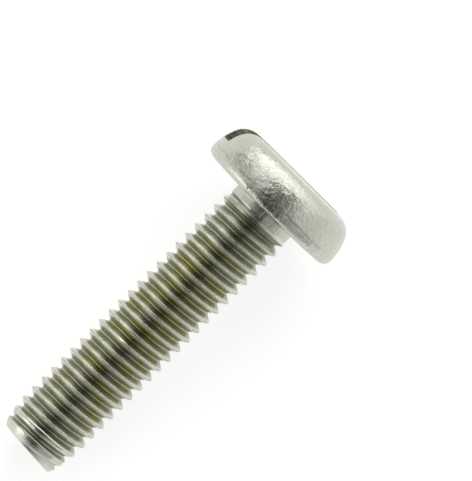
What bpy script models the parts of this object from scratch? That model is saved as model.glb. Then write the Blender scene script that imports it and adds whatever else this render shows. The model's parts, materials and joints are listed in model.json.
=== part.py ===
"""A slotted pan head machine screw in stainless steel, 6 mm thread, 25 mm long under the head.

The screw is one turned and rolled piece, so it is one closed solid.
It is modelled about its own axis, with the face under the head at zero and the head upwards.
At the end it is laid down as it comes to rest, on the rim of the head and a crest near the tip.
"""

import math

import bmesh
import bpy
from mathutils import Matrix, Vector

# Sizes in metres

THREAD_DIAMETER = 0.00597
PITCH = 0.001
FLANK_ANGLE = math.radians(60)
LENGTH = 0.025

# The groove's form follows the pitch, as on any metric thread
CREST_WIDTH = PITCH / 8
GROOVE_DEPTH = 0.6 * PITCH
CREST_RADIUS = THREAD_DIAMETER / 2
ROOT_RADIUS = CREST_RADIUS - GROOVE_DEPTH

# How far below the head the first crest meets the reference direction
CREST_PHASE = 0.00044

# The plain neck and the turns where the thread comes up to its full depth
NECK_RADIUS = CREST_RADIUS - 0.000235
NECK_LENGTH = 0.00055
ROOT_FADE_END = 0.0015
CREST_FADE_START = 0.001
CREST_FADE_END = 0.0021

# The tip: a long lead with a short steep chamfer, and an end face that isn't quite square
LEAD_LENGTH = 0.0027
LEAD_DROP = 0.0003
CHAMFER_LENGTH = 0.0005
TIP_RADIUS = ROOT_RADIUS + 0.00004
END_SLANT = math.radians(4.8)
END_LOW_SIDE = math.radians(232)

# The head
HEAD_DIAMETER = 0.0122
HEAD_HEIGHT = 0.0035
UNDER_EDGE_RADIUS = 0.0006
WIDEST_HEIGHT = 0.0009
SIDE_LEAN_LOW = math.radians(3)
SIDE_LEAN_HIGH = math.radians(24)
CROWN_RADIUS = 0.0016

# The slot
SLOT_WIDTH = 0.0017
SLOT_DEPTH = 0.00185
SLOT_TURN = math.radians(16)

# Facets round the axis, and along the rounded lower edge, side and crown of the head
FACETS = 48
UNDER_EDGE_STEPS = 3
SIDE_STEPS = 3
CROWN_STEPS = 5

NAME = "pan_head_screw"


def clear_scene():
    """Removes what a new file holds."""
    for item in list(bpy.data.objects):
        bpy.data.objects.remove(item)


def share(value, start, end):
    """How far a value has come from start, 0, to end, 1."""
    return min(max((value - start) / (end - start), 0), 1)


def ease(value, start, end):
    """The same, starting and ending gently."""
    way = share(value, start, end)
    return way * way * (3 - 2 * way)


def facet_angle(index):
    """The angle of a corner, set so that the middle of a facet faces straight down."""
    return (index + 0.5) * math.tau / FACETS


def tip_limit(depth):
    """The largest radius that the lead and the chamfer leave, at a depth below the head."""
    lead = share(depth, LENGTH - LEAD_LENGTH, LENGTH - CHAMFER_LENGTH)
    past = max(0, depth - (LENGTH - CHAMFER_LENGTH))
    slope = (CREST_RADIUS - LEAD_DROP - TIP_RADIUS) / CHAMFER_LENGTH
    return CREST_RADIUS - LEAD_DROP * lead - past * slope


def crest_radius(depth):
    """The thread's outer radius: it rises out of the neck and drops at the tip."""
    rise = ease(depth, CREST_FADE_START, CREST_FADE_END)
    return min(NECK_RADIUS + (CREST_RADIUS - NECK_RADIUS) * rise, tip_limit(depth))


def root_radius(depth):
    """The thread's inner radius: the groove deepens below the neck and runs out at the tip."""
    sink = ease(depth, NECK_LENGTH, ROOT_FADE_END)
    runout = ease(depth, LENGTH - CHAMFER_LENGTH, LENGTH + CHAMFER_LENGTH)
    root = NECK_RADIUS + (ROOT_RADIUS - NECK_RADIUS) * sink
    return min(root + (TIP_RADIUS - root) * runout, tip_limit(depth))


def thread_profile():
    """Where the four edges of one groove and crest lie along the pitch, and which are crests."""
    flank = GROOVE_DEPTH * math.tan(FLANK_ANGLE / 2)
    root_width = PITCH - CREST_WIDTH - 2 * flank
    half_crest = CREST_WIDTH / 2
    half_root = root_width / 2
    middle = PITCH / 2
    return [
        (-half_crest, True),
        (half_crest, True),
        (middle - half_root, False),
        (middle + half_root, False),
    ]


def add_thread(mesh):
    """Right-hand rows of corners that climb round the axis, joined to the rows a pitch higher."""
    profile = thread_profile()
    turns = math.ceil(LENGTH / PITCH) + 3
    steps = turns * FACETS
    corners = []
    for step in range(steps + 1):
        angle = facet_angle(step)
        climb = PITCH * angle / math.tau
        for offset, is_crest in profile:
            z = climb + offset - CREST_PHASE - (turns - 1) * PITCH
            depth = -z
            radius = crest_radius(depth) if is_crest else root_radius(depth)
            place = (radius * math.cos(angle), radius * math.sin(angle), z)
            corners.append(mesh.verts.new(place))
    rows = len(profile)
    for step in range(steps):
        for row in range(rows):
            low = step * rows + row
            high = low + 1
            if row == rows - 1:
                high = (step + FACETS) * rows
            if high + rows >= len(corners):
                continue
            ring = (corners[low], corners[low + rows], corners[high + rows], corners[high])
            mesh.faces.new(ring)


def cut_off(mesh, point, outward):
    """Cuts the open shell at a plane, drops what lies outward, and gives the new rim."""
    everything = mesh.verts[:] + mesh.edges[:] + mesh.faces[:]
    cut = bmesh.ops.bisect_plane(
        mesh, geom=everything, dist=1e-8, plane_co=point, plane_no=outward, clear_outer=True
    )
    return [e for e in cut["geom_cut"] if isinstance(e, bmesh.types.BMEdge)]


def drop_chord_corners(mesh, rim):
    """Takes out the rim corners where a row of the thread crossed a flat facet."""
    extra = []
    for corner in {v for edge in rim for v in edge.verts}:
        turn = math.atan2(corner.co.y, corner.co.x) / math.tau * FACETS - 0.5
        if abs(turn - round(turn)) > 1e-3:
            extra.append(corner)
    bmesh.ops.dissolve_verts(mesh, verts=extra)


def top_rim(mesh, height):
    """The open edges that lie at a height."""
    rim = []
    for edge in mesh.edges:
        if edge.is_boundary and all(abs(v.co.z - height) < 1e-6 for v in edge.verts):
            rim.append(edge)
    return rim


def arc_points(centre, radius, start, end, steps):
    """Points on an arc, as radius from the axis and height."""
    points = []
    for step in range(steps + 1):
        angle = start + (end - start) * step / steps
        across = centre[0] + radius * math.cos(angle)
        points.append((across, centre[1] + radius * math.sin(angle)))
    return points


def head_profile():
    """The head's outline from the top of the neck, under the head, round it and onto its top."""
    widest = HEAD_DIAMETER / 2
    under = (widest - UNDER_EDGE_RADIUS, UNDER_EDGE_RADIUS)
    points = [(NECK_RADIUS, 0)]
    points += arc_points(under, UNDER_EDGE_RADIUS, math.radians(-90), 0, UNDER_EDGE_STEPS)
    low, high = SIDE_LEAN_LOW, SIDE_LEAN_HIGH
    crown_start = HEAD_HEIGHT - CROWN_RADIUS * (1 - math.sin(high))
    side_radius = (crown_start - WIDEST_HEIGHT) / (math.sin(high) - math.sin(low))
    side_across = widest - side_radius * math.cos(low)
    side_height = WIDEST_HEIGHT - side_radius * math.sin(low)
    points += arc_points((side_across, side_height), side_radius, low, high, SIDE_STEPS)
    crown = (points[-1][0] - CROWN_RADIUS * math.cos(high), HEAD_HEIGHT - CROWN_RADIUS)
    points += arc_points(crown, CROWN_RADIUS, high, math.radians(90), CROWN_STEPS)[1:]
    return points


def grow_head(mesh, rim):
    """Extrudes the neck's rim ring by ring along the head's outline and closes the top."""
    for radius, height in head_profile():
        grown = bmesh.ops.extrude_edge_only(mesh, edges=rim)["geom"]
        rim = [e for e in grown if isinstance(e, bmesh.types.BMEdge)]
        for corner in {v for edge in rim for v in edge.verts}:
            outward = Vector((corner.co.x, corner.co.y, 0)).normalized()
            corner.co = outward * radius + Vector((0, 0, height))
    bmesh.ops.contextual_create(mesh, geom=rim)


def end_direction():
    """The way the end face looks: nearly along the axis, as it was sheared a little askew."""
    askew = -math.sin(END_SLANT)
    across = Vector((math.cos(END_LOW_SIDE), math.sin(END_LOW_SIDE), 0))
    return across * askew - Vector((0, 0, math.cos(END_SLANT)))


def make_blank():
    """The whole screw without its slot."""
    mesh = bmesh.new()
    add_thread(mesh)
    tip = cut_off(mesh, Vector((0, 0, -LENGTH)), end_direction())
    bmesh.ops.contextual_create(mesh, geom=tip)
    neck = cut_off(mesh, Vector((0, 0, -NECK_LENGTH)), Vector((0, 0, 1)))
    drop_chord_corners(mesh, neck)
    grow_head(mesh, top_rim(mesh, -NECK_LENGTH))
    bmesh.ops.recalc_face_normals(mesh, faces=mesh.faces[:])
    data = bpy.data.meshes.new(NAME)
    mesh.to_mesh(data)
    mesh.free()
    screw = bpy.data.objects.new(NAME, data)
    bpy.context.scene.collection.objects.link(screw)
    return screw


def cut_slot(screw):
    """Cuts the driver slot right across the head."""
    margin = HEAD_DIAMETER / 10
    floor = HEAD_HEIGHT - SLOT_DEPTH
    top = HEAD_HEIGHT + margin
    bpy.ops.mesh.primitive_cube_add(size=1)
    cutter = bpy.context.object
    cutter.name = "slot_cutter"
    size = Matrix.Diagonal((HEAD_DIAMETER + margin, SLOT_WIDTH, top - floor, 1))
    place = Matrix.Translation((0, 0, (top + floor) / 2))
    cutter.data.transform(Matrix.Rotation(SLOT_TURN, 4, "Z") @ place @ size)
    cutter.hide_render = True
    cutter.display_type = "WIRE"
    cut = screw.modifiers.new("slot", "BOOLEAN")
    cut.operation = "DIFFERENCE"
    cut.solver = "EXACT"
    cut.object = cutter
    bpy.context.view_layer.objects.active = screw
    bpy.ops.object.modifier_apply(modifier=cut.name)
    bpy.data.objects.remove(cutter)


def lay_down(screw):
    """Lays the screw on the rim of its head and on the first crest that then meets the ground."""
    corners = [v.co for v in screw.data.vertices]
    rim = min((c for c in corners if c.z > 0), key=lambda c: (round(c.y, 8), c.z))
    shank = [c for c in corners if c.z < -LENGTH / 2]
    tilt = min(math.atan2(c.y - rim.y, rim.z - c.z) for c in shank)
    upright_to_lying = Matrix(((0, 0, 1), (1, 0, 0), (0, 1, 0))).to_4x4()
    screw.data.transform(Matrix.Rotation(-tilt, 4, "Y") @ upright_to_lying)
    low = Vector(min(v.co[k] for v in screw.data.vertices) for k in range(3))
    high = Vector(max(v.co[k] for v in screw.data.vertices) for k in range(3))
    middle = (low + high) / 2
    screw.data.transform(Matrix.Translation((-middle.x, -middle.y, -low.z)))


def finish(screw):
    """Gives the steel and smooth round faces with crisp edges."""
    steel = bpy.data.materials.new("stainless_steel")
    steel.use_nodes = True
    shader = steel.node_tree.nodes["Principled BSDF"]
    shader.inputs["Base Color"].default_value = (0.66, 0.66, 0.61, 1)
    shader.inputs["Metallic"].default_value = 1.0
    shader.inputs["Roughness"].default_value = 0.34
    screw.data.materials.append(steel)
    screw.data.shade_smooth()
    screw.data.set_sharp_from_angle(angle=math.radians(32))


def main():
    clear_scene()
    screw = make_blank()
    cut_slot(screw)
    lay_down(screw)
    finish(screw)


main()
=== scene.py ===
"""A slotted pan head machine screw in stainless steel, lying on a pale floor.

The screw is modelled upright about its own axis, with the face under its head at zero and the head
upwards. One pitch of thread form is swept into the thread, the head is grown ring by ring from the
neck, and the slot is cut last. It is then laid down where the frame's own screw lies.
"""

import json
import math

import bpy
from bpy.props import FloatProperty, FloatVectorProperty, IntProperty, PointerProperty
from mathutils import Matrix, Vector, noise


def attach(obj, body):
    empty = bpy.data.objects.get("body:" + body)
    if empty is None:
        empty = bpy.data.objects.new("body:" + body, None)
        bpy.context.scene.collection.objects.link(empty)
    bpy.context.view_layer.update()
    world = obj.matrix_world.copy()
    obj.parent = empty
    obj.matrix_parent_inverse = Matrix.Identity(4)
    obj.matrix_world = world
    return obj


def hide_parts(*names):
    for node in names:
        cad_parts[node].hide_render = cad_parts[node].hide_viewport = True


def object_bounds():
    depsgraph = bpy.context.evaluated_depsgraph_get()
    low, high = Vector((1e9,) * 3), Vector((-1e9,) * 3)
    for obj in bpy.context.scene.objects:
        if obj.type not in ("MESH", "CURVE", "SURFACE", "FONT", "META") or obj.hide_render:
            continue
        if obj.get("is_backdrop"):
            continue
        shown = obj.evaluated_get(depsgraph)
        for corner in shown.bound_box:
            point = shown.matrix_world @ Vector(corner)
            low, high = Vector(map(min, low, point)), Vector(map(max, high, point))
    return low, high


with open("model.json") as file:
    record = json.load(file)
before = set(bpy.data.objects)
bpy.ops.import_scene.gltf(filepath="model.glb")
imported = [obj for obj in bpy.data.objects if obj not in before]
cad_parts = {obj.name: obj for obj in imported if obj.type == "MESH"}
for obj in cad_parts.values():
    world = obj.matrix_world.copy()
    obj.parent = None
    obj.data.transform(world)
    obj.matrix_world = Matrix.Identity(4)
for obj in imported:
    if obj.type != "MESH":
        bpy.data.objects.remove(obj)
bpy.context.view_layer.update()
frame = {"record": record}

bl_info = {
    "name": "Slotted pan head screw",
    "version": (1, 0, 0),
    "blender": (4, 5, 0),
    "location": "View3D > Sidebar > Screw",
    "description": "Models a slotted pan head machine screw and the pale stage that it lies on",
    "category": "Object",
}

NODE = "pan_head_screw"
BODY = "root"

# Azimuth from the head's end, elevation and half width in degrees, even share of the width, strength
LAMPS = (
    (15, 20, 55, 0.3, 0.4),
    (30, 32, 55, 0.3, 0.6),
    (0, 10, 55, 0.7, 0.55),
    (50, 20, 26, 0.4, 0.6),
    (85, 50, 26, 0.3, 0.3),
    (120, 10, 38, 0.3, 0.95),
    (145, 0, 30, 0.6, 1.3),
    (210, 0, 55, 0.3, 0.3),
    (270, 32, 55, 0.3, 0.2),
    (300, 20, 45, 0.4, 0.35),
)

# Corners between the flats that drawing leaves round the neck, in degrees about the axis
NECK_CORNERS = (-8, 19, 46, 71, 97, 121, 150, 184, 214, 241, 268, 300, 331, 352)

# Distances under this count as none, in metres
TOUCHING = 1e-6

# Start, end and steps of the arcs of the thread's form
GROOVE_ARC = (math.radians(180), math.radians(120), 3)
SHOULDER_ARC = (math.radians(-65), math.radians(25), 5)

# Shares of the way up a flank where it has corners
FLANK_PARTS = (0.2, 0.4, 0.6, 0.8)

# Turns that are swept beyond the ends and cut off again
SPARE_TURNS = 3

# Rings of the dished end face: share of its radius, and rise in metres
DISH_RINGS = (
    (1, 0),
    (0.985, -0.00002),
    (0.95, -0.00001),
    (0.88, 0.00001),
    (0.74, 0.00005),
    (0.5, 0.00008),
    (0.2, 0.00009),
)

# Heights between which one finish or painted shade passes into the next, in metres from under the head
NECK_FADE = (-0.0009, -0.00065)
FIRST_TURN_FADE = (-0.0018, -0.0014)
FOLD_FADE = (-0.0024, -0.0019)
STAINS_BELOW_HEAD = (-0.0065, -0.003)

# The same, in metres above the end
TIP_FADE = (0.0005, 0.0009)
STAINS_ABOVE_END = (0.003, 0.007)

# Distances from the nearest crest between which finishes and painted shade pass, as shares of the pitch
FLANK_FADE = (0, 0.17)
SEAM_FADE = (0.012, 0.038)
FOLD_EDGE_FADE = (0.02, 0.05)
GROOVE_BOTTOM_FADE = (0.4, 0.46)

# Half widths of the bright crests, as shares of the pitch: on the first turn and below it
FIRST_CREST_HALF_WIDTH = 0.24
CREST_HALF_WIDTH = 0.12

# How far the fold of the first turn is below its crest, as a share of the pitch
FOLD_BELOW_CREST = 0.13

# Where the dark of the camera fades out, on each side of the screw and past its head, as sines
DARK_SIDES = (0.13, 0.4)
DARK_PAST_HEAD = 0.4

# Where the room dims towards the tip, to which share, and where it meets the ground, as sines
TIP_SIDE_FADE = (-0.35, 0.1)
TIP_SIDE_SHARE = 0.6
HORIZON_FADE = (-0.02, 0.02)


class ThreadSizes(bpy.types.PropertyGroup):
    """The rolled thread, the plain neck above it and the tip below it."""

    diameter: FloatProperty(
        name="Diameter", description="Across the crests", default=0.00597, unit="LENGTH"
    )
    pitch: FloatProperty(
        name="Pitch", description="From one crest to the next", default=0.001, unit="LENGTH"
    )
    length: FloatProperty(
        name="Length", description="From under the head to the tip", default=0.025, unit="LENGTH"
    )
    groove_depth: FloatProperty(
        name="Groove depth", description="From crest to root", default=0.0006, unit="LENGTH"
    )
    root_round: FloatProperty(
        name="Root radius", description="Round bottom of the groove", default=0.00012, unit="LENGTH"
    )
    lobe_round: FloatProperty(
        name="Lower shoulder",
        description="Round shoulder of a crest on the side of the tip",
        default=0.00003,
        unit="LENGTH",
    )
    upper_round: FloatProperty(
        name="Upper shoulder",
        description="Wider round shoulder on the side of the head",
        default=0.00004,
        unit="LENGTH",
    )
    lobe_apart: FloatProperty(
        name="Lobe spacing", description="From shoulder to shoulder", default=0.00007, unit="LENGTH"
    )
    seam_depth: FloatProperty(
        name="Seam depth", description="Fold that rolling leaves", default=0.000025, unit="LENGTH"
    )
    first_crest: FloatProperty(
        name="First crest", description="Its depth below the head", default=0.00044, unit="LENGTH"
    )
    neck_radius: FloatProperty(
        name="Neck radius", description="Plain part under the head", default=0.00275, unit="LENGTH"
    )
    neck_length: FloatProperty(
        name="Neck length", description="Plain part under the head", default=0.00055, unit="LENGTH"
    )
    groove_full: FloatProperty(
        name="Full groove", description="Depth where the groove is full", default=0.0015, unit="LENGTH"
    )
    crest_start: FloatProperty(
        name="Crest start", description="Depth where the crest rises", default=0.001, unit="LENGTH"
    )
    crest_full: FloatProperty(
        name="Full crest", description="Depth where the crest is full", default=0.0021, unit="LENGTH"
    )
    crest_lean: FloatProperty(
        name="Crest lean", description="Slope of the first crests towards the head", default=0.3
    )
    neck_flats: FloatProperty(
        name="Neck flats", description="How flat the flats round the neck are, up to 1", default=0.5
    )
    flats_full: FloatProperty(
        name="Full flats", description="Depth where they are still full", default=0.0007, unit="LENGTH"
    )
    flats_end: FloatProperty(
        name="Flats end", description="Depth where they have gone", default=0.0012, unit="LENGTH"
    )
    flats_start: FloatProperty(
        name="Flats start", description="Depth where they are first full", default=0.0001, unit="LENGTH"
    )
    lead_length: FloatProperty(
        name="Lead length", description="Where the crests drop", default=0.0027, unit="LENGTH"
    )
    lead_drop: FloatProperty(
        name="Lead drop", description="By how much the crests drop", default=0.0003, unit="LENGTH"
    )
    groove_runout: FloatProperty(
        name="Groove run-out", description="Of the last groove", default=0.0005, unit="LENGTH"
    )
    end_round: FloatProperty(
        name="End round", description="Length of the rounded end", default=0.0011, unit="LENGTH"
    )
    tip_radius: FloatProperty(
        name="Tip radius", description="At the very end", default=0.0023, unit="LENGTH"
    )
    tip_blend: FloatProperty(
        name="Tip blend", description="Softness of the last crests", default=0.00012, unit="LENGTH"
    )
    end_slant: FloatProperty(
        name="End slant",
        description="Lean of the end face",
        default=math.radians(4.8),
        unit="ROTATION",
    )
    end_wear: FloatProperty(
        name="End wear", description="Rubbed off one side of the end", default=0.0001, unit="LENGTH"
    )
    wear_length: FloatProperty(
        name="Wear length", description="How far up the wear reaches", default=0.0004, unit="LENGTH"
    )
    unevenness: FloatProperty(
        name="Unevenness", description="Waviness of the crests", default=0.000007, unit="LENGTH"
    )
    nick_depth: FloatProperty(
        name="Nick depth", description="Of the nicks in the crests", default=0.0002, unit="LENGTH"
    )
    edge_blend: FloatProperty(
        name="Edge blend",
        description="Softness of the lips of the groove",
        default=0.00002,
        unit="LENGTH",
    )
    end_low_side: FloatProperty(
        name="End low side",
        description="Where round the axis the end face is highest up the thread",
        default=math.radians(232),
        unit="ROTATION",
    )


class HeadSizes(bpy.types.PropertyGroup):
    """The pan head and its slot."""

    diameter: FloatProperty(
        name="Diameter", description="Across the head", default=0.0122, unit="LENGTH"
    )
    height: FloatProperty(
        name="Height", description="From bearing face to top", default=0.0035, unit="LENGTH"
    )
    neck_fillet: FloatProperty(
        name="Neck fillet", description="Between neck and head", default=0.00006, unit="LENGTH"
    )
    under_round: FloatProperty(
        name="Lower edge", description="Round edge under the head", default=0.0006, unit="LENGTH"
    )
    widest_height: FloatProperty(
        name="Land", description="Top of the upright land", default=0.0009, unit="LENGTH"
    )
    lean_low: FloatProperty(
        name="Lean low",
        description="Of the side at the land",
        default=math.radians(3),
        unit="ROTATION",
    )
    lean_high: FloatProperty(
        name="Lean high",
        description="Of the side at the crown",
        default=math.radians(24),
        unit="ROTATION",
    )
    crown_round: FloatProperty(
        name="Crown radius", description="Between side and top", default=0.0016, unit="LENGTH"
    )
    slot_width: FloatProperty(
        name="Slot width", description="Between its walls", default=0.0017, unit="LENGTH"
    )
    slot_depth: FloatProperty(
        name="Slot depth", description="Below the flat top", default=0.00185, unit="LENGTH"
    )
    slot_turn: FloatProperty(
        name="Slot turn", description="About the axis", default=math.radians(16), unit="ROTATION"
    )


class FinishColours(bpy.types.PropertyGroup):
    """Colours of the steel, by how each surface was made, with a darker colour on the groove's sides as
    painted shade.
    """

    tumbled: FloatVectorProperty(
        name="Tumbled", description="The head", default=(0.532, 0.552, 0.472), subtype="COLOR"
    )
    rolled: FloatVectorProperty(
        name="Rolled",
        description="Crests of the thread",
        default=(0.582, 0.595, 0.508),
        subtype="COLOR",
    )
    # Painted shade: the groove's sides are darker than the crests, for the shade and dim reflections
    # deep in the groove
    flank: FloatVectorProperty(
        name="Flank", description="Sides of the groove", default=(0.345, 0.355, 0.29), subtype="COLOR"
    )
    stained: FloatVectorProperty(
        name="Stained",
        description="Old oil in the groove",
        default=(0.34, 0.322, 0.165),
        subtype="COLOR",
    )
    milled: FloatVectorProperty(
        name="Milled", description="Walls of the slot", default=(0.48, 0.48, 0.385), subtype="COLOR"
    )
    oiled: FloatVectorProperty(
        name="Oiled", description="Floor of the slot", default=(0.385, 0.325, 0.245), subtype="COLOR"
    )
    sheared: FloatVectorProperty(
        name="Sheared", description="The end face", default=(0.55, 0.55, 0.5), subtype="COLOR"
    )


class StageSettings(bpy.types.PropertyGroup):
    """The floor, the light round it and the camera above it."""

    floor_radius: FloatProperty(
        name="Floor radius", description="Of the round floor", default=1.6, unit="LENGTH"
    )
    floor_colour: FloatVectorProperty(
        name="Floor colour", description="Pale floor", default=(0.6, 0.6, 0.6), subtype="COLOR"
    )
    floor_glow: FloatProperty(
        name="Floor glow", description="Lifts the floor to white", default=0.67
    )
    room_strength: FloatProperty(name="Room", description="Light between the lamps", default=0.4)
    dark_share: FloatProperty(
        name="Dark", description="Share of light from round the camera", default=0.35
    )
    camera_distance: FloatProperty(
        name="Camera distance", description="From the aim point", default=0.5, unit="LENGTH"
    )
    camera_tilt: FloatProperty(
        name="Camera tilt",
        description="Of the screw's axis towards the camera",
        default=math.radians(2.3),
        unit="ROTATION",
    )
    camera_roll: FloatProperty(
        name="Camera roll",
        description="Turns the screw's head to the upper right",
        default=math.radians(45),
        unit="ROTATION",
    )
    camera_lens: FloatProperty(
        name="Lens", description="Focal length in millimetres", default=507.8
    )
    aim_depth: FloatProperty(
        name="Aim depth", description="Aim point below the head", default=0.0032, unit="LENGTH"
    )
    aim_side: FloatProperty(
        name="Aim side", description="Aim point beside the axis", default=0.00008, unit="LENGTH"
    )


class MeshDetail(bpy.types.PropertyGroup):
    """How finely the round forms are divided."""

    columns: IntProperty(name="Columns", description="Round the axis", default=96)
    edge_steps: IntProperty(name="Edge steps", description="Round the lower edge", default=8)
    side_steps: IntProperty(name="Side steps", description="Up the head's side", default=8)
    crown_steps: IntProperty(name="Crown steps", description="Round the crown", default=16)
    floor_sides: IntProperty(name="Floor sides", description="Round the floor", default=96)
    sharp_angle: FloatProperty(
        name="Sharp angle",
        description="Edges that turn by less are smooth",
        default=math.radians(38),
        unit="ROTATION",
    )


GROUPS = {
    "thread_sizes": ThreadSizes,
    "head_sizes": HeadSizes,
    "finish_colours": FinishColours,
    "stage_settings": StageSettings,
    "mesh_detail": MeshDetail,
}


def share(value, start, end):
    """How far a value has come from start, 0, to end, 1."""
    return min(max((value - start) / (end - start), 0), 1)


def ease(value, start, end):
    """The same, starting and ending gently."""
    way = share(value, start, end)
    return way * way * (3 - 2 * way)


def mount_named(name):
    """Place and axis of one of the record's mounts."""
    mount = next(m for m in frame["record"]["mounts"] if m["name"] == name)
    return Vector(mount["pos_m"]), Vector(mount["axis"])


def lying_place(head):
    """Takes the upright screw to where the frame's screw lies."""
    slot_floor, axis = mount_named("slot_floor")
    seat = slot_floor - axis * (head.height - head.slot_depth)
    across = Vector((0, 1, 0))
    upwards = axis.cross(across)
    turn = Matrix((across, upwards, axis)).transposed()
    return Matrix.Translation(seat) @ turn.to_4x4()


def edit(piece):
    """Opens one mesh for editing, with nothing selected."""
    bpy.ops.object.select_all(action="DESELECT")
    piece.select_set(True)
    bpy.context.view_layer.objects.active = piece
    bpy.ops.object.mode_set(mode="EDIT")
    bpy.ops.mesh.select_mode(type="VERT")
    bpy.ops.mesh.select_all(action="DESELECT")


def close(piece):
    """Ends the editing."""
    bpy.ops.object.mode_set(mode="OBJECT")
    return piece


def select_corners(piece, test):
    """Selects the corners that pass a test, with the edges between them, and opens the mesh."""
    edit(piece)
    bpy.ops.object.mode_set(mode="OBJECT")
    for corner in piece.data.vertices:
        corner.select = test(corner.co)
    bpy.ops.object.mode_set(mode="EDIT")


def apply_modifier(piece, modifier):
    """Makes a modifier part of the mesh."""
    bpy.ops.object.select_all(action="DESELECT")
    piece.select_set(True)
    bpy.context.view_layer.objects.active = piece
    bpy.ops.object.modifier_apply(modifier=modifier.name)


def grow_rings(places):
    """Extrudes the selected rim from ring to ring, each given as radius and height."""
    for (radius, height), (new_radius, new_height) in zip(places, places[1:]):
        rise = (0, 0, new_height - height)
        spread = new_radius / radius
        bpy.ops.mesh.extrude_region_move(TRANSFORM_OT_translate={"value": rise})
        bpy.ops.transform.resize(value=(spread, spread, 1), center_override=(0, 0, 0))


def arc(centre, radius, start, end, steps):
    """Points on an arc, in two coordinates."""
    points = []
    for step in range(steps + 1):
        angle = start + (end - start) * step / steps
        points.append((centre[0] + radius * math.cos(angle), centre[1] + radius * math.sin(angle)))
    return points


def thread_form(thread):
    """One pitch of thread, from groove bottom to groove bottom, as radius and height."""
    outside = thread.diameter / 2
    bottom = outside - thread.groove_depth
    half = thread.pitch / 2
    form = [(outside - thread.seam_depth, 0)]
    for side, lobe_round in ((-1, thread.lobe_round), (1, thread.upper_round)):
        root = (bottom + thread.root_round, -half)
        groove = arc(root, thread.root_round, *GROOVE_ARC)
        lobe = (outside - lobe_round, -thread.lobe_apart / 2)
        shoulder = arc(lobe, lobe_round, *SHOULDER_ARC)
        flank = [middle_of(groove[-1], shoulder[0], part) for part in FLANK_PARTS]
        way_up = groove + flank + shoulder
        if side < 0:
            form = way_up + form
        else:
            form += [(radius, -height) for radius, height in reversed(way_up)]
    return form


def middle_of(first, second, part):
    """A point between two others."""
    return tuple(a + (b - a) * part for a, b in zip(first, second))


def above_end(thread, place):
    """How far a place is above the slanting end face."""
    outward = end_direction(thread)
    across = place.x * outward.x + place.y * outward.y
    return place.z + thread.length - across / -outward.z


def above_crest(thread, place):
    """How far a place is above the nearest crest."""
    turns = (place.z + thread.first_crest) / thread.pitch - math.atan2(place.y, place.x) / math.tau
    return (turns - round(turns)) * thread.pitch


def tip_limit(thread, place):
    """The largest radius that the lead and the rounded end leave at a place."""
    outside = thread.diameter / 2
    led_in = outside - thread.lead_drop
    lead = share(-place.z, thread.length - thread.lead_length, thread.length - thread.end_round)
    past = max(1 - above_end(thread, place) / thread.end_round, 0)
    return outside - thread.lead_drop * lead - (led_in - thread.tip_radius) * past * past


def crest_limit(thread, place):
    """The thread's outer radius: it rises out of the neck, and its first crests lean to the head."""
    depth = -place.z
    start = thread.crest_start
    rise = ease(depth, start, thread.crest_full)
    clear = thread.diameter / 2 + thread.edge_blend
    lean_start, lean_full = 0.7 * start, 1.2 * start
    lean = thread.crest_lean * ease(depth, lean_start, lean_full) * (1 - rise)
    level = thread.neck_radius + (clear - thread.neck_radius) * rise
    return level - lean * above_crest(thread, place)


def root_radius(thread, depth):
    """The thread's inner radius: the groove deepens below the neck and runs out at the tip."""
    bottom = thread.diameter / 2 - thread.groove_depth
    sink = ease(depth, thread.neck_length, thread.groove_full)
    end = thread.length
    runout = ease(depth, end - thread.groove_runout, end + thread.groove_runout)
    root = thread.neck_radius + (bottom - thread.neck_radius) * sink
    return root + (thread.tip_radius - root) * runout


def softer_min(first, second, blend):
    """The smaller of two values, with the corner between them rounded."""
    reach = max(blend - abs(first - second), 0) / blend
    return min(first, second) - reach * reach * blend / 4


def sweep_thread(thread, detail):
    """Extrudes one pitch of the form as a line, and sweeps it up the screw with a Screw modifier."""
    form = thread_form(thread)
    turns = math.ceil(thread.length / thread.pitch) + SPARE_TURNS
    lowest = -thread.first_crest - (turns - 1) * thread.pitch
    bpy.ops.object.select_all(action="DESELECT")
    bpy.ops.mesh.primitive_plane_add(size=thread.pitch)
    piece = bpy.context.object
    piece.name = NODE + "_finished"
    edit(piece)
    bpy.ops.mesh.select_all(action="SELECT")
    bpy.ops.mesh.merge(type="CENTER")
    start = (form[0][0], 0, lowest + form[0][1])
    bpy.ops.transform.translate(value=start)
    for here, there in zip(form, form[1:]):
        step = (there[0] - here[0], 0, there[1] - here[1])
        bpy.ops.mesh.extrude_region_move(TRANSFORM_OT_translate={"value": step})
    close(piece)
    helix = piece.modifiers.new("helix", "SCREW")
    helix.angle = math.tau
    helix.screw_offset = thread.pitch
    helix.iterations = turns
    helix.steps = detail.columns
    helix.render_steps = detail.columns
    helix.use_merge_vertices = False
    apply_modifier(piece, helix)
    edit(piece)
    bpy.ops.mesh.select_all(action="SELECT")
    bpy.ops.mesh.remove_doubles(threshold=TOUCHING)
    return close(piece)


def work_thread(piece, thread):
    """Gives the swept thread its run-outs, its tip, and the unevenness that rolling leaves."""
    bottom = thread.diameter / 2 - thread.groove_depth
    waves_per_metre, nicks_per_metre, nick_threshold = 900, 2600, 0.42
    for corner in piece.data.vertices:
        place = corner.co
        radius = math.hypot(place.x, place.y)
        height = (radius - bottom) / thread.groove_depth
        lifted = radius + root_radius(thread, -place.z) - bottom
        worked = softer_min(lifted, crest_limit(thread, place), thread.edge_blend)
        worked = softer_min(worked, tip_limit(thread, place), thread.tip_blend)
        uneven = noise.noise(place * waves_per_metre) * thread.unevenness * height * height
        nick = max(noise.noise(place * nicks_per_metre) - nick_threshold, 0)
        worked += uneven - nick * thread.nick_depth * height
        place.x *= worked / radius
        place.y *= worked / radius


def wear_end(piece, thread):
    """Rubs the end down on the side that strikes first."""
    for corner in piece.data.vertices:
        place = corner.co
        near_end = share(-place.z, thread.length - thread.wear_length, thread.length)
        side = max(place.x, 0) / thread.tip_radius
        place.z += thread.end_wear * near_end * side * side


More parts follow.
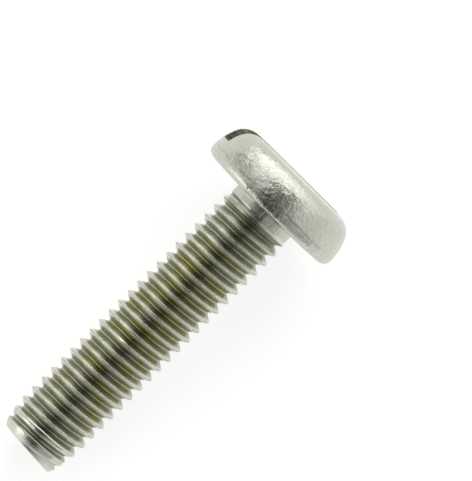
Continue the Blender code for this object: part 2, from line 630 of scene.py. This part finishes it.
def flat_at(angle):
    """The radius of a many-sided neck in one direction, where its corners have a radius of 1."""
    angle = (angle - NECK_CORNERS[0]) % 360 + NECK_CORNERS[0]
    corner = max(number for number, start in enumerate(NECK_CORNERS[:-1]) if start <= angle)
    start, end = NECK_CORNERS[corner:corner + 2]
    half = math.radians(end - start) / 2
    from_middle = math.radians(angle - (start + end) / 2)
    return math.cos(half) / math.cos(from_middle)


def flatten_neck(piece, thread):
    """Leaves soft flats round the neck, as drawn wire has."""
    for corner in piece.data.vertices:
        place = corner.co
        if place.z >= 0:
            continue
        amount = thread.neck_flats * share(-place.z, thread.flats_end, thread.flats_full)
        amount *= share(-place.z, 0, thread.flats_start)
        angle = math.degrees(math.atan2(place.y, place.x))
        push = 1 + (flat_at(angle) - 1) * amount
        place.x *= push
        place.y *= push


def end_direction(thread):
    """The way the end face looks: nearly along the axis, as it was sheared a little askew."""
    askew = -math.sin(thread.end_slant)
    across = Vector((math.cos(thread.end_low_side), math.sin(thread.end_low_side), 0))
    return across * askew - Vector((0, 0, math.cos(thread.end_slant)))


def close_end(piece, thread):
    """Cuts the thread off at the end and closes it with a shallow dished face."""
    edit(piece)
    bpy.ops.mesh.select_all(action="SELECT")
    bpy.ops.mesh.bisect(
        plane_co=(0, 0, -thread.length),
        plane_no=end_direction(thread),
        clear_outer=True,
        threshold=TOUCHING / 10,
    )
    bpy.ops.mesh.remove_doubles(threshold=10 * TOUCHING)
    grow_rings(DISH_RINGS)
    bpy.ops.mesh.edge_face_add()
    close(piece)


def open_neck(piece, thread, detail):
    """Cuts the thread off at the neck and leaves one corner there for each column."""
    edit(piece)
    bpy.ops.mesh.select_all(action="SELECT")
    top = -thread.neck_length
    off_column = 0.001
    bpy.ops.mesh.bisect(
        plane_co=(0, 0, top), plane_no=(0, 0, 1), clear_outer=True, threshold=TOUCHING / 10
    )

    def crosses_chord(place):
        column = math.atan2(place.y, place.x) / math.tau * detail.columns
        return abs(place.z - top) < TOUCHING and abs(column - round(column)) > off_column

    close(piece)
    select_corners(piece, crosses_chord)
    bpy.ops.mesh.dissolve_verts()
    close(piece)
    select_corners(piece, lambda place: abs(place.z - top) < TOUCHING)
    bpy.ops.mesh.remove_doubles(threshold=10 * TOUCHING)
    close(piece)


def head_outline(thread, head, detail):
    """From the top of the thread over the neck, under the head, round it and onto its top."""
    widest = head.diameter / 2
    neck = thread.neck_radius
    fillet = head.neck_fillet
    fillet_steps = 3
    rings_on_top = (0.7, 0.35)
    places = [(neck, -thread.neck_length), (neck, -thread.neck_length / 2), (neck, -fillet)]
    corner = (neck + fillet, -fillet)
    places += arc(corner, fillet, math.radians(180), math.radians(90), fillet_steps)[1:]
    under = (widest - head.under_round, head.under_round)
    places += arc(under, head.under_round, math.radians(-90), 0, detail.edge_steps)
    low, high = head.lean_low, head.lean_high
    crown_start = head.height - head.crown_round * (1 - math.sin(high))
    side_round = (crown_start - head.widest_height) / (math.sin(high) - math.sin(low))
    side_middle = (
        widest - side_round * math.cos(low),
        head.widest_height - side_round * math.sin(low),
    )
    side = arc(side_middle, side_round, low, high, detail.side_steps)
    crown = (side[-1][0] - head.crown_round * math.cos(high), head.height - head.crown_round)
    places += side
    places += arc(crown, head.crown_round, high, math.radians(90), detail.crown_steps)[1:]
    places += [(crown[0] * part, head.height) for part in rings_on_top]
    return places


def grow_head(piece, thread, head, detail):
    """Grows the neck and the head from the open rim and closes the flat top."""
    top = -thread.neck_length
    select_corners(piece, lambda place: abs(place.z - top) < TOUCHING)
    grow_rings(head_outline(thread, head, detail))
    bpy.ops.mesh.edge_face_add()
    bpy.ops.mesh.select_all(action="SELECT")
    bpy.ops.mesh.normals_make_consistent(inside=False)
    close(piece)


def cut_slot(piece, head):
    """Cuts the driver slot right across the head."""
    margin = head.diameter / 10
    floor = head.height - head.slot_depth
    top = head.height + margin
    bpy.ops.object.select_all(action="DESELECT")
    bpy.ops.mesh.primitive_cube_add(
        size=1,
        location=(0, 0, (top + floor) / 2),
        rotation=(0, 0, head.slot_turn),
        scale=(head.diameter + margin, head.slot_width, top - floor),
    )
    cutter = bpy.context.object
    cut = piece.modifiers.new("slot", "BOOLEAN")
    cut.operation = "DIFFERENCE"
    cut.solver = "EXACT"
    cut.object = cutter
    apply_modifier(piece, cut)
    bpy.data.objects.remove(cutter)


def fill_sockets(tree, node, inputs):
    """Sets or links a node's inputs, given by name or number."""
    for socket, value in inputs.items():
        if isinstance(value, bpy.types.NodeSocket):
            tree.links.new(value, node.inputs[socket])
        else:
            node.inputs[socket].default_value = value


def add_node(tree, kind, inputs=None, **settings):
    """Adds a shader node, with its inputs given by name or number."""
    node = tree.nodes.new("ShaderNode" + kind)
    for name, value in settings.items():
        setattr(node, name, value)
    fill_sockets(tree, node, inputs or {})
    return node


def reckon(tree, operation, first, second=0.0):
    """One step of arithmetic."""
    return add_node(tree, "Math", {0: first, 1: second}, operation=operation).outputs[0]


def product(tree, first, *others):
    """All the values multiplied."""
    for other in others:
        first = reckon(tree, "MULTIPLY", first, other)
    return first


def opposite(tree, value):
    """What is left of 1."""
    return reckon(tree, "SUBTRACT", 1.0, value)


def wrap(tree, value):
    """Brings a count of turns to between -0.5 and 0.5."""
    return add_node(tree, "Math", {0: value, 1: 0.5, 2: -0.5}, operation="WRAP").outputs[0]


def smooth_step(tree, value, start, end, low=0.0, high=1.0):
    """Takes a value from low to high as it passes from start to end."""
    inputs = {"Value": value, "From Min": start, "From Max": end, "To Min": low, "To Max": high}
    return add_node(tree, "MapRange", inputs, interpolation_type="SMOOTHSTEP").outputs["Result"]


def mix_colours(tree, factor, first, second):
    """Goes from the first colour to the second."""
    inputs = {0: factor, 6: first, 7: second}
    return add_node(tree, "Mix", inputs, data_type="RGBA").outputs[2]


def opaque(colour):
    """A colour with full alpha."""
    return (*colour, 1)


def shade(colour, amount):
    """A darker or lighter colour."""
    return opaque(part * amount for part in colour)


def new_steel(name):
    """A metal with its nodes, and its shader."""
    steel = bpy.data.materials.new(name)
    steel.use_nodes = True
    shader = steel.node_tree.nodes["Principled BSDF"]
    shader.inputs["Metallic"].default_value = 1.0
    return steel, steel.node_tree, shader


def own_place(tree, place):
    """Coordinates about the screw's own axis, with the head upwards."""
    coordinates = add_node(tree, "TexCoord").outputs["Object"]
    inputs = {"Vector": coordinates, "Location": place.to_translation(), "Rotation": place.to_euler()}
    return add_node(tree, "Mapping", inputs, vector_type="TEXTURE").outputs["Vector"]


def stretch(tree, vector, amounts):
    """Coordinates stretched along each axis."""
    return add_node(tree, "Mapping", {"Vector": vector, "Scale": amounts}).outputs["Vector"]


def grain(tree, vector, scale, detail=2.0, rough=0.5, distortion=0.0):
    """Soft random variation, with its scale in waves a metre."""
    inputs = {
        "Vector": vector,
        "Scale": scale,
        "Detail": detail,
        "Roughness": rough,
        "Distortion": distortion,
    }
    return add_node(tree, "TexNoise", inputs).outputs[0]


def bump(tree, height, depth, below=None):
    """Relief of a given depth in metres."""
    inputs = {"Height": height, "Distance": depth, "Strength": 1.0}
    if below is not None:
        inputs["Normal"] = below
    return add_node(tree, "Bump", inputs).outputs["Normal"]


def round_the_axis(tree, vector):
    """Radius and height, and a direction that never jumps, for marks that run round the axis."""
    parts = add_node(tree, "SeparateXYZ", {0: vector}).outputs
    flat = add_node(tree, "CombineXYZ", {0: parts["X"], 1: parts["Y"]}).outputs[0]
    radius = add_node(tree, "VectorMath", {0: flat}, operation="LENGTH").outputs["Value"]
    way = add_node(tree, "VectorMath", {0: flat}, operation="NORMALIZE").outputs["Vector"]
    return radius, parts["Z"], way


def land_crease_and_shade(tree, own, height):
    """A faint crease round the head at the top of the land, broken in places: a shallow groove, with
    painted shade darkening its colour.
    """
    waves = smooth_step(tree, grain(tree, own, scale=900), 0.25, 0.75, low=-0.00008, high=0.00008)
    level = reckon(tree, "ADD", add_node(tree, "SeparateXYZ", {0: own}).outputs["Z"], waves)
    apart = reckon(tree, "ABSOLUTE", reckon(tree, "SUBTRACT", level, height))
    line = smooth_step(tree, apart, 0.00001, 0.00014, low=1, high=0)
    patchiness = smooth_step(tree, grain(tree, own, scale=450), 0.36, 0.62, low=0.1, high=1)
    return product(tree, line, patchiness)


def marks_place(tree, radius, height, way):
    """Coordinates that change fast across the marks of rolling and slowly round the axis."""
    across = add_node(tree, "CombineXYZ", {0: radius, 1: height}).outputs[0]
    inputs = {0: way, 1: (0.00035, 0.00035, 0)}
    along = add_node(tree, "VectorMath", inputs, operation="MULTIPLY").outputs[0]
    return add_node(tree, "VectorMath", {0: across, 1: along}, operation="ADD").outputs[0]


def tumbled_steel(colours, head, place):
    """The head: bright, with the small sharp dents of tumbling."""
    steel, tree, shader = new_steel("tumbled_steel")
    own = own_place(tree, place)
    broad = grain(tree, own, scale=420)
    waves = grain(tree, own, scale=1300, detail=1)
    dents = grain(tree, own, scale=4200, rough=0.55, distortion=0.8)
    fine = grain(tree, own, scale=12000)
    speckle = grain(tree, own, scale=5200, detail=3, rough=0.65)
    speckle = smooth_step(tree, speckle, 0.35, 0.65, high=0.5)
    line = land_crease_and_shade(tree, own, head.widest_height)
    tone = mix_colours(tree, broad, shade(colours.tumbled, 0.94), shade(colours.tumbled, 1.06))
    tone = mix_colours(tree, speckle, tone, shade(colours.tumbled, 0.74))
    # Painted shade: darkens the colour along the crease
    tone = mix_colours(tree, product(tree, line, 0.5), tone, shade(colours.tumbled, 0.4))
    relief = bump(tree, waves, depth=0.00006)
    relief = bump(tree, dents, depth=0.00004, below=relief)
    relief = bump(tree, fine, depth=0.000002, below=relief)
    relief = bump(tree, line, depth=-0.00001, below=relief)
    rough = smooth_step(tree, dents, 0.3, 0.7, low=0.13, high=0.22)
    fill_sockets(tree, shader, {"Base Color": tone, "Roughness": rough, "Normal": relief})
    return steel


def turn_of_thread(tree, thread, height, way):
    """How far a place is above the nearest crest, as a share of the pitch, from -0.5 to 0.5."""
    parts = add_node(tree, "SeparateXYZ", {0: way}).outputs
    turn = reckon(tree, "DIVIDE", reckon(tree, "ARCTAN2", parts["Y"], parts["X"]), math.tau)
    above = reckon(tree, "DIVIDE", reckon(tree, "ADD", height, thread.first_crest), thread.pitch)
    return wrap(tree, reckon(tree, "SUBTRACT", above, turn))


def thread_zones(tree, thread, height):
    """Where the neck, the first turn and the tip are, as masks from 0 to 1."""
    above_end = [edge - thread.length for edge in TIP_FADE]
    neck = smooth_step(tree, height, *NECK_FADE)
    first_turn = smooth_step(tree, height, *FIRST_TURN_FADE)
    tip = smooth_step(tree, height, *above_end, low=1, high=0)
    return neck, first_turn, tip


def groove_stains(tree, thread, own, height):
    """Patches of old oil, thinner near the head and near the tip."""
    above_end = [edge - thread.length for edge in STAINS_ABOVE_END]
    near_head = smooth_step(tree, height, *STAINS_BELOW_HEAD, low=1, high=0)
    near_tip = smooth_step(tree, height, *above_end)
    middle = smooth_step(tree, product(tree, near_head, near_tip), 0, 1, low=0.25, high=1)
    patches = grain(tree, stretch(tree, own, (1, 1, 2)), scale=480, rough=0.6)
    return product(tree, smooth_step(tree, patches, 0.36, 0.62, low=0.1, high=1), middle)


def thread_painted_shade(tree, own, height, above, neck, first_turn, tip):
    """Painted shade in the seam of each crest, and in the fold and the groove of the first turn."""
    apart = reckon(tree, "ABSOLUTE", above)
    seam = product(
        tree,
        smooth_step(tree, apart, *SEAM_FADE, low=0.5, high=0),
        smooth_step(tree, first_turn, 0, 1, low=1, high=0),
        smooth_step(tree, tip, 0, 1, low=1, high=0),
        smooth_step(tree, grain(tree, own, scale=1800, detail=1), 0.3, 0.5, low=0.3, high=1),
    )
    from_fold = reckon(tree, "ABSOLUTE", reckon(tree, "ADD", above, FOLD_BELOW_CREST))
    lip = product(
        tree,
        smooth_step(tree, from_fold, *FOLD_EDGE_FADE, low=0.95, high=0),
        smooth_step(tree, height, *FOLD_FADE),
    )
    bottom = product(tree, smooth_step(tree, apart, *GROOVE_BOTTOM_FADE, high=0.85), first_turn)
    fold = product(tree, reckon(tree, "MAXIMUM", lip, bottom), opposite(tree, neck))
    return reckon(tree, "MAXIMUM", seam, fold)


def groove_sides(tree, above, neck, first_turn, tip):
    """A mask of the groove's sides, from 0 on the crests, the neck and the tip to 1."""
    crest = smooth_step(
        tree, first_turn, 0, 1, low=CREST_HALF_WIDTH, high=FIRST_CREST_HALF_WIDTH
    )
    past_crest = reckon(tree, "SUBTRACT", reckon(tree, "ABSOLUTE", above), crest)
    grooved = opposite(tree, reckon(tree, "MAXIMUM", neck, tip))
    return product(tree, smooth_step(tree, past_crest, *FLANK_FADE), grooved)


def rolled_steel(colours, thread, place):
    """The thread, with marks that run round the axis, and the neck, with marks that run along it."""
    steel, tree, shader = new_steel("rolled_steel")
    own = own_place(tree, place)
    radius, height, way = round_the_axis(tree, own)
    above = turn_of_thread(tree, thread, height, way)
    neck, first_turn, tip = thread_zones(tree, thread, height)
    groove = groove_sides(tree, above, neck, first_turn, tip)
    stains = product(tree, groove_stains(tree, thread, own, height), groove)
    painted_shade = thread_painted_shade(tree, own, height, above, neck, first_turn, tip)
    tone = mix_colours(tree, neck, opaque(colours.rolled), shade(colours.rolled, 0.85))
    # Painted shade: the groove's sides take the darker flank colour
    tone = mix_colours(tree, groove, tone, opaque(colours.flank))
    tone = mix_colours(tree, stains, tone, opaque(colours.stained))
    # Painted shade: near black in the crests' seams and the first turn's fold, darker in its groove
    tone = mix_colours(tree, painted_shade, tone, shade(colours.flank, 0.2))
    marks = grain(tree, marks_place(tree, radius, height, way), scale=14000, rough=0.6)
    spots = grain(tree, own, scale=6000, rough=0.6)
    drawn = grain(tree, stretch(tree, own, (1, 1, 0.06)), scale=2300, rough=0.6)
    drawn = product(tree, smooth_step(tree, drawn, 0.5, 0.66, low=1, high=0), neck)
    relief = bump(tree, marks, depth=0.000005)
    relief = bump(tree, spots, depth=0.000009, below=relief)
    relief = bump(tree, drawn, depth=0.00003, below=relief)
    rough = smooth_step(tree, spots, 0.3, 0.7, low=0.14, high=0.26)
    at_tip = smooth_step(tree, tip, 0, 1, high=0.22)
    in_groove = smooth_step(tree, groove, 0, 1, low=0.02, high=0.08)
    rough = reckon(tree, "ADD", rough, reckon(tree, "MAXIMUM", at_tip, in_groove))
    fill_sockets(tree, shader, {"Base Color": tone, "Roughness": rough, "Normal": relief})
    return steel


def milled_steel(colours, head, place):
    """The slot: dull, with the cutter's streaks along it and a brown floor."""
    steel, tree, shader = new_steel("milled_steel")
    own = own_place(tree, place)
    inputs = {"Vector": own, "Rotation": (0, 0, -head.slot_turn)}
    turned = add_node(tree, "Mapping", inputs).outputs["Vector"]
    streaks = grain(tree, stretch(tree, turned, (0.15, 1, 1)), scale=4200, detail=3, rough=0.6)
    blotches = grain(tree, turned, scale=2600)
    floor = head.height - head.slot_depth
    height = add_node(tree, "SeparateXYZ", {0: own}).outputs["Z"]
    wall = smooth_step(tree, height, floor, floor + head.slot_width / 40)
    dark = mix_colours(tree, wall, shade(colours.oiled, 0.6), shade(colours.milled, 0.5))
    light = mix_colours(tree, wall, shade(colours.oiled, 1.2), shade(colours.milled, 1.35))
    tone = mix_colours(tree, smooth_step(tree, streaks, 0.35, 0.65), dark, light)
    tone = mix_colours(tree, smooth_step(tree, blotches, 0.5, 0.7, high=0.3), tone, dark)
    relief = bump(tree, streaks, depth=0.00003)
    fill_sockets(tree, shader, {"Base Color": tone, "Roughness": 0.4, "Normal": relief})
    return steel


def sheared_steel(colours, place):
    """The end face: matt and a little torn."""
    steel, tree, shader = new_steel("sheared_steel")
    own = own_place(tree, place)
    torn = grain(tree, stretch(tree, own, (1, 0.25, 1)), scale=4200, detail=3, rough=0.6)
    tone = mix_colours(tree, torn, shade(colours.sheared, 0.8), shade(colours.sheared, 1.15))
    relief = bump(tree, torn, depth=0.00002)
    fill_sockets(tree, shader, {"Base Color": tone, "Roughness": 0.38, "Normal": relief})
    return steel


def give_finishes(piece, thread, head, steels):
    """Tells each face how it was made, while the screw still stands upright."""
    for steel in steels:
        piece.data.materials.append(steel)
    tumbled, rolled, milled, sheared = range(len(steels))
    across = Vector((-math.sin(head.slot_turn), math.cos(head.slot_turn), 0))
    half_slot = head.slot_width / 2 + TOUCHING
    slot_floor = head.height - head.slot_depth - TOUCHING
    near_end = -0.9 * thread.length
    outward = end_direction(thread)
    looks_outward = 0.9
    for face in piece.data.polygons:
        centre = face.center
        if abs(centre.dot(across)) < half_slot and centre.z > slot_floor:
            face.material_index = milled
        elif centre.z > -TOUCHING:
            face.material_index = tumbled
        elif centre.z < near_end and face.normal.dot(outward) > looks_outward:
            face.material_index = sheared
        else:
            face.material_index = rolled


def lay_down(piece, place, sharp_angle):
    """Puts the upright screw where it lies, with its place in its mesh."""
    piece.matrix_world = place
    bpy.ops.object.select_all(action="DESELECT")
    piece.select_set(True)
    bpy.context.view_layer.objects.active = piece
    bpy.ops.object.transform_apply(location=True, rotation=True, scale=True)
    bpy.ops.object.shade_smooth_by_angle(angle=sharp_angle)


class MESH_OT_pan_head_screw(bpy.types.Operator):
    """Models the whole screw and gives each of its surfaces its finish"""

    bl_idname = "mesh.add_pan_head_screw"
    bl_label = "Pan head screw"
    bl_options = {"REGISTER", "UNDO"}

    def execute(self, context):
        scene = context.scene
        thread = scene.thread_sizes
        head = scene.head_sizes
        detail = scene.mesh_detail
        colours = scene.finish_colours
        place = lying_place(head)
        piece = sweep_thread(thread, detail)
        work_thread(piece, thread)
        close_end(piece, thread)
        wear_end(piece, thread)
        open_neck(piece, thread, detail)
        grow_head(piece, thread, head, detail)
        flatten_neck(piece, thread)
        cut_slot(piece, head)
        steels = (
            tumbled_steel(colours, head, place),
            rolled_steel(colours, thread, place),
            milled_steel(colours, head, place),
            sheared_steel(colours, place),
        )
        give_finishes(piece, thread, head, steels)
        lay_down(piece, place, detail.sharp_angle)
        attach(piece, BODY)
        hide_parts(NODE)
        return {"FINISHED"}


def blend_values(tree, factor, first, second):
    """Goes from the first value to the second."""
    return add_node(tree, "Mix", {0: factor, 2: first, 3: second}, data_type="FLOAT").outputs[0]


def soft_lamp(tree, way, azimuth, elevation, spread, even, strength):
    """Light from one side of the sky, fading towards its edge. Angles in degrees."""
    turn, climb, edge = math.radians(azimuth), math.radians(elevation), math.radians(spread)
    towards = (math.cos(climb) * math.cos(turn), math.cos(climb) * math.sin(turn), math.sin(climb))
    near = add_node(tree, "VectorMath", {0: way, 1: towards}, operation="DOT_PRODUCT").outputs["Value"]
    return smooth_step(tree, near, math.cos(edge), math.cos(edge * even), high=strength)


def dark_overhead(tree, x, y, dark_share):
    """The dark of the camera: a strip of the sky along the screw, which ends past the head."""
    steeper = 2.0
    past_head = reckon(tree, "MAXIMUM", reckon(tree, "SUBTRACT", x, DARK_PAST_HEAD), 0.0)
    past_head = reckon(tree, "MULTIPLY", past_head, steeper)
    apart = add_node(tree, "CombineXYZ", {0: past_head, 1: y}).outputs[0]
    apart = add_node(tree, "VectorMath", {0: apart}, operation="LENGTH").outputs["Value"]
    return smooth_step(tree, apart, *DARK_SIDES, low=dark_share, high=1)


def studio_light(world, stage):
    """A dim room with soft lamps round it, and the dark of the camera overhead and behind the tip."""
    world.use_nodes = True
    tree = world.node_tree
    way = add_node(tree, "TexCoord").outputs["Generated"]
    x, y, z = add_node(tree, "SeparateXYZ", {0: way}).outputs
    room = stage.room_strength
    sky = smooth_step(tree, x, *TIP_SIDE_FADE, low=TIP_SIDE_SHARE * room, high=room)
    for lamp in LAMPS:
        sky = reckon(tree, "ADD", sky, soft_lamp(tree, way, *lamp))
    sky = product(tree, sky, dark_overhead(tree, x, y, stage.dark_share))
    ground = smooth_step(tree, z, *HORIZON_FADE, low=1, high=0)
    strength = blend_values(tree, ground, sky, 1.0)
    fill_sockets(tree, tree.nodes["Background"], {"Color": (1, 1, 1, 1), "Strength": strength})


def pale_floor(stage):
    """White to the eye and in reflections, and still shaded by what lies on it."""
    floor = bpy.data.materials.new("pale_floor")
    floor.use_nodes = True
    tree = floor.node_tree
    rays = add_node(tree, "LightPath").outputs
    seen = reckon(tree, "MAXIMUM", rays["Is Camera Ray"], rays["Is Glossy Ray"])
    seen = reckon(tree, "MAXIMUM", seen, rays["Is Transmission Ray"])
    inputs = {
        "Base Color": opaque(stage.floor_colour),
        "Roughness": 0.9,
        "Specular IOR Level": 0.0,
        "Emission Color": (1, 1, 1, 1),
        "Emission Strength": product(tree, seen, stage.floor_glow),
    }
    fill_sockets(tree, tree.nodes["Principled BSDF"], inputs)
    return floor


def set_camera(scene, stage, head):
    """Looks down on the screw, with its head to the upper right."""
    place = lying_place(head)
    axis = place.to_3x3() @ Vector((0, 0, 1))
    across = place.to_3x3() @ Vector((1, 0, 0))
    near = place.to_3x3() @ Vector((0, 1, 0))
    tilt = stage.camera_tilt
    back = axis * math.sin(tilt) + near * math.cos(tilt)
    head_up = axis * math.cos(tilt) - near * math.sin(tilt)
    aim = place.translation - axis * stage.aim_depth - across * stage.aim_side
    bpy.ops.object.camera_add(location=aim + back * stage.camera_distance)
    camera = bpy.context.object
    camera.name = "camera"
    upright = Matrix((-across, head_up, back)).transposed()
    rolled = upright @ Matrix.Rotation(stage.camera_roll, 3, "Z")
    camera.rotation_euler = rolled.to_euler()
    camera.data.lens = stage.camera_lens
    camera.data.clip_start = 0.01
    camera.data.clip_end = 4 * stage.camera_distance
    scene.camera = camera


class SCENE_OT_pale_stage(bpy.types.Operator):
    """Sets up the pale floor, the soft light and the camera"""

    bl_idname = "scene.add_pale_stage"
    bl_label = "Pale stage"
    bl_options = {"REGISTER", "UNDO"}

    def execute(self, context):
        scene = context.scene
        stage = scene.stage_settings
        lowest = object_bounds()[0].z
        bpy.ops.object.select_all(action="DESELECT")
        bpy.ops.mesh.primitive_circle_add(
            vertices=scene.mesh_detail.floor_sides,
            radius=stage.floor_radius,
            fill_type="NGON",
            location=(0, 0, lowest),
        )
        floor = bpy.context.object
        floor.name = "floor"
        bpy.ops.object.transform_apply(location=True)
        floor.data.materials.append(pale_floor(stage))
        floor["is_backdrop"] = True
        scene.world = bpy.data.worlds.new("studio")
        studio_light(scene.world, stage)
        set_camera(scene, stage, scene.head_sizes)
        scene.view_settings.view_transform = "Standard"
        return {"FINISHED"}


class VIEW3D_PT_pan_head_screw(bpy.types.Panel):
    """Lists the screw, the stage and their sizes"""

    bl_label = "Slotted pan head screw"
    bl_idname = "VIEW3D_PT_pan_head_screw"
    bl_space_type = "VIEW_3D"
    bl_region_type = "UI"
    bl_category = "Screw"

    def draw(self, context):
        column = self.layout.column(align=True)
        column.operator(MESH_OT_pan_head_screw.bl_idname)
        column.operator(SCENE_OT_pale_stage.bl_idname)
        for name, group in GROUPS.items():
            box = self.layout.box()
            box.label(text=name.replace("_", " ").capitalize())
            for size in group.__annotations__:
                box.prop(getattr(context.scene, name), size)


CLASSES = (*GROUPS.values(), MESH_OT_pan_head_screw, SCENE_OT_pale_stage, VIEW3D_PT_pan_head_screw)


def register():
    for item in CLASSES:
        bpy.utils.register_class(item)
    for name, group in GROUPS.items():
        setattr(bpy.types.Scene, name, PointerProperty(type=group))


def unregister():
    for name in GROUPS:
        delattr(bpy.types.Scene, name)
    for item in reversed(CLASSES):
        bpy.utils.unregister_class(item)


def main():
    register()
    bpy.ops.mesh.add_pan_head_screw()
    bpy.ops.scene.add_pale_stage()


if __name__ == "__main__":
    main()
